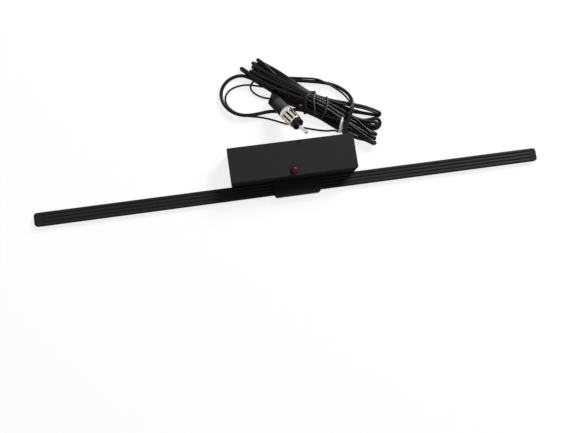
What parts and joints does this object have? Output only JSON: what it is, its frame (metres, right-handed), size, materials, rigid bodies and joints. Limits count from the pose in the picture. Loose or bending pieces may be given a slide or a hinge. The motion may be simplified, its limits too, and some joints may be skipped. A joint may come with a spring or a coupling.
{
  "type": "car radio antenna",
  "caption": "Flat amplified car radio antenna for the windscreen: small box with indicator light, long ribbed strip and a tied hank of cable with an antenna plug.",
  "frame": {"origin": "centre of the box's foam pad, on the surface that the antenna is fixed to", "axes": "+X along the element strip, +Y from the strip towards the cables, +Z out of the box's face"},
  "size_m": [0.34, 0.0979, 0.02],
  "materials": {
    "case_black": "fine moulded texture",
    "strip_black": "satin extruded",
    "foam": "closed-cell foam tape",
    "lens_red": "clear tinted dome",
    "screw_steel": "bright zinc",
    "bush_rubber": "matt",
    "board": "solder mask",
    "tinned_wire": "tinned",
    "capacitor_can": "sleeved can",
    "transistor_black": "moulded epoxy",
    "ceramic_tan": "dipped coating",
    "resistor_beige": "lacquered",
    "ferrite": "sintered",
    "copper": "bare copper",
    "brass": "stamped",
    "cable_black": "smooth jacket",
    "tie_grey": "plastic-covered wire",
    "boot_grey": "moulded boot",
    "nickel": "nickel plated",
    "insulator_black": "moulded"
  },
  "bodies": {
    "root": {"case_cover": "case_black", "case_base": "case_black", "case_screws": "screw_steel", "case_pad": "foam", "cable_grommet": "bush_rubber", "indicator_led": "lens_red", "led_legs": "tinned_wire", "electrolytic_capacitor": "capacitor_can", "transistors": "transistor_black", "ceramic_capacitors": "ceramic_tan", "resistors": "resistor_beige", "choke_core": "ferrite", "choke_winding": "copper", "feed_contact": "brass", "coax_tail": "cable_black", "lead_tail": "cable_black", "circuit_board": "board", "antenna_strip": "strip_black", "strip_conductor": "copper", "strip_tape_left": "foam", "strip_tape_right": "foam", "cable_hank": "cable_black", "coax_box_run": "cable_black", "coax_side_loop": "cable_black", "coax_plug_run": "cable_black", "lead_box_run": "cable_black", "lead_small_loop": "cable_black", "lead_end_run": "cable_black", "lead_terminal": "nickel", "twist_tie": "tie_grey", "wire_ties": "tie_grey", "plug_boot": "boot_grey", "plug_shell": "nickel", "plug_insulator": "insulator_black", "plug_pin": "nickel"}
  },
  "joints": []
}
